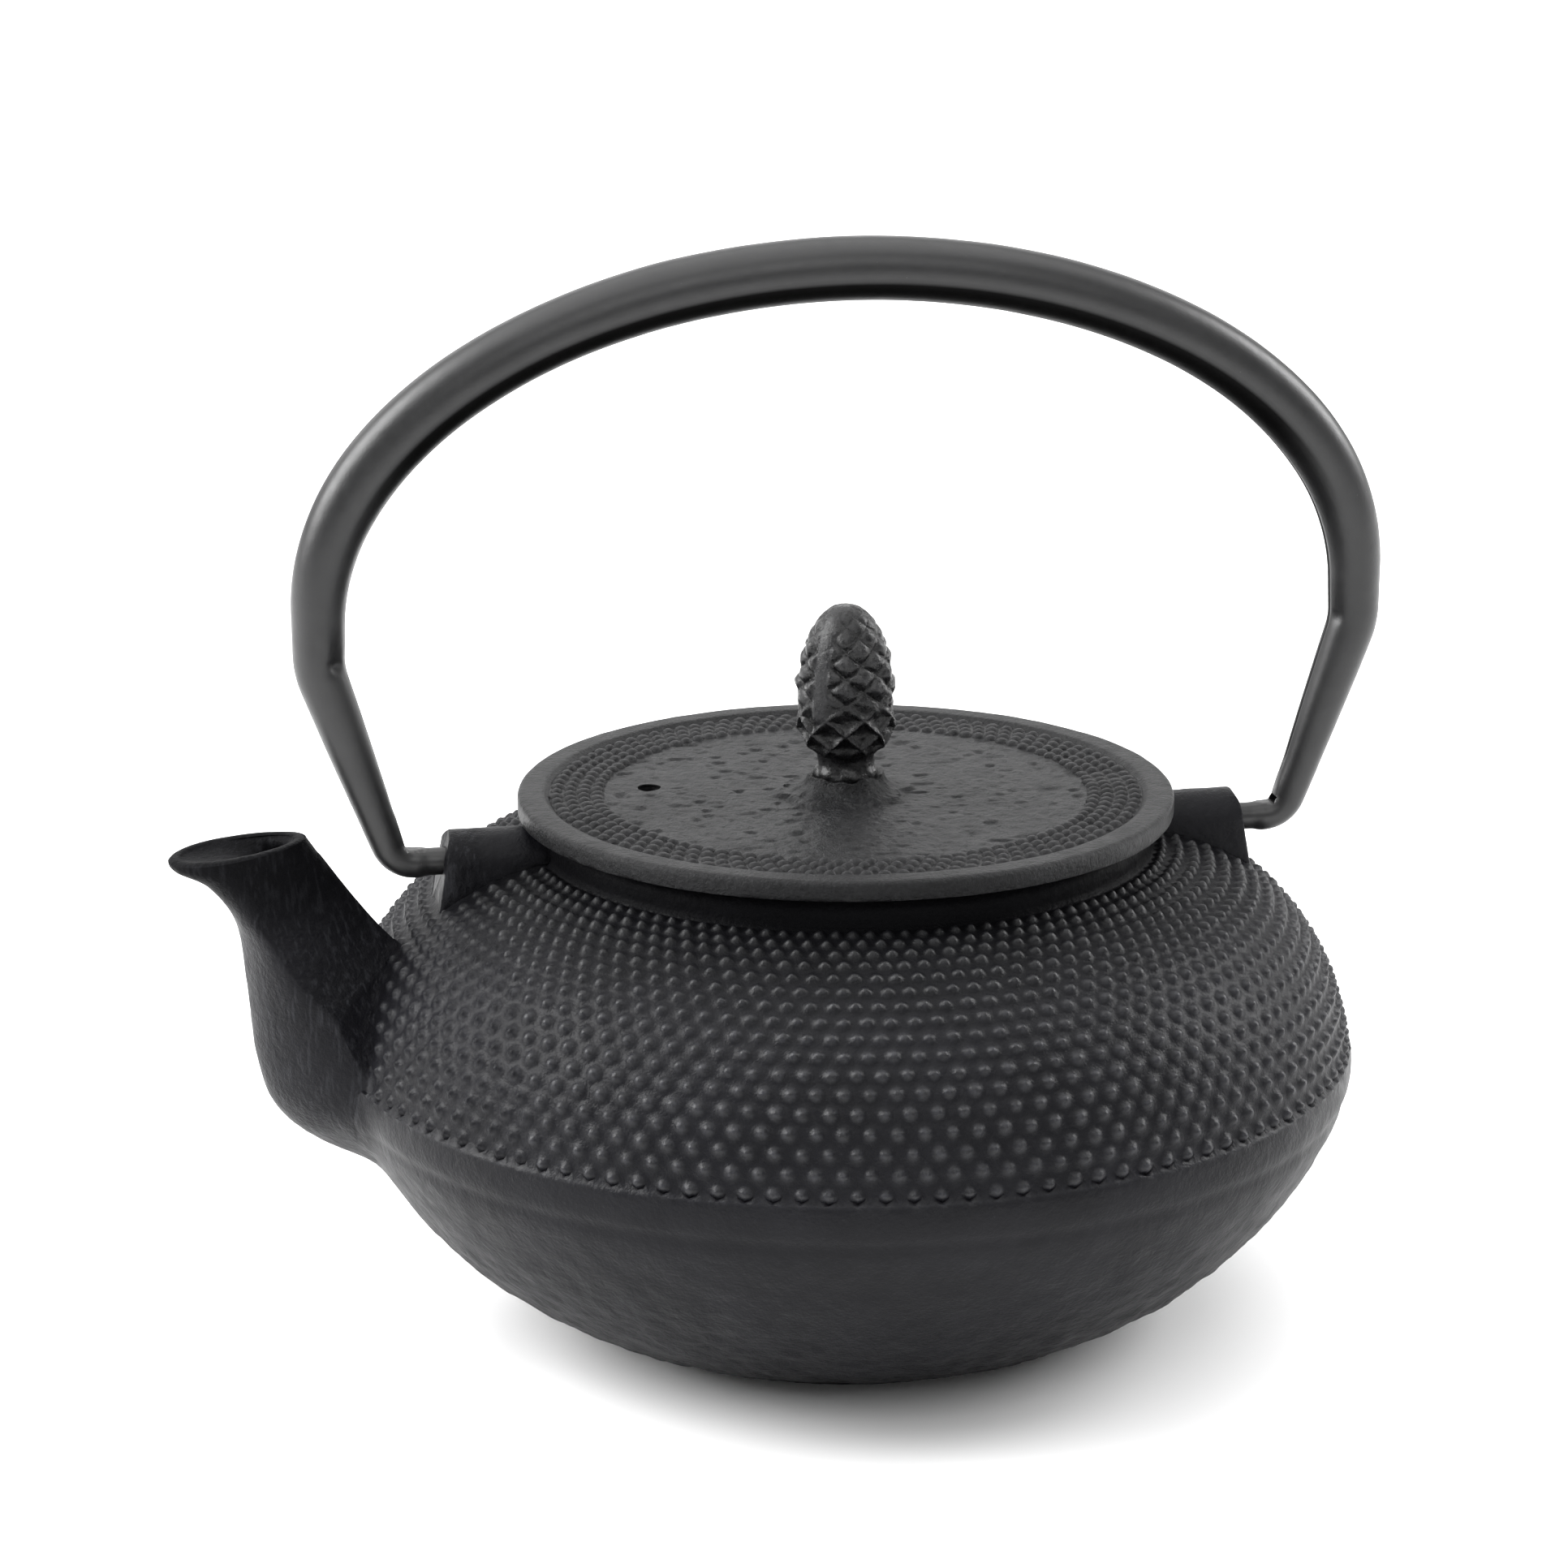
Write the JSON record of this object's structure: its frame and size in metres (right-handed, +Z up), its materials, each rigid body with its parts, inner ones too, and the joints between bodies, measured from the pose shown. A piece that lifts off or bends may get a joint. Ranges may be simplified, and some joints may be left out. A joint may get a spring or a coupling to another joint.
{
  "type": "cast iron teapot",
  "caption": "Low round cast iron teapot with hobnail dots, a side spout, an arched swing handle, a lift-off lid with a pine cone knob and a strainer basket in the neck.",
  "frame": {"origin": "centre of the flat foot, on the surface that the teapot stands on", "axes": "+Z up along the pot's axis; the spout points along -X; the handle's pivot axis lies along X"},
  "size_m": [0.1976, 0.165, 0.1766],
  "materials": {
    "pot_iron": "matte black, cast texture",
    "bail_steel": "satin black paint on rolled steel",
    "lid_iron": "matte black, cast texture",
    "knob_iron": "satin black, cast texture",
    "washer_steel": "plain pressed steel",
    "strainer_steel": "brushed stainless sheet",
    "mesh_steel": "etched stainless mesh"
  },
  "bodies": {
    "pot": {"pot_body": "pot_iron"},
    "bail": {"bail_handle": "bail_steel"},
    "strainer": {"strainer_rim": "strainer_steel", "strainer_mesh": "mesh_steel", "strainer_base": "strainer_steel"},
    "lid": {"lid": "lid_iron", "lid_knob": "knob_iron", "knob_washer": "washer_steel"}
  },
  "joints": [
    {"name": "bail_swing", "type": "hinge", "parent": "pot", "child": "bail", "pos_m": [0, 0, 0.0784], "axis": [1, 0, 0], "range_deg": [-105, 105]},
    {"name": "strainer_lift", "type": "slide", "parent": "pot", "child": "strainer", "axis": [0, 0, 1], "range_m": [0, 0.045]},
    {"name": "lid_lift", "type": "slide", "parent": "strainer", "child": "lid", "axis": [0, 0, 1], "range_m": [0, 0.045]}
  ]
}
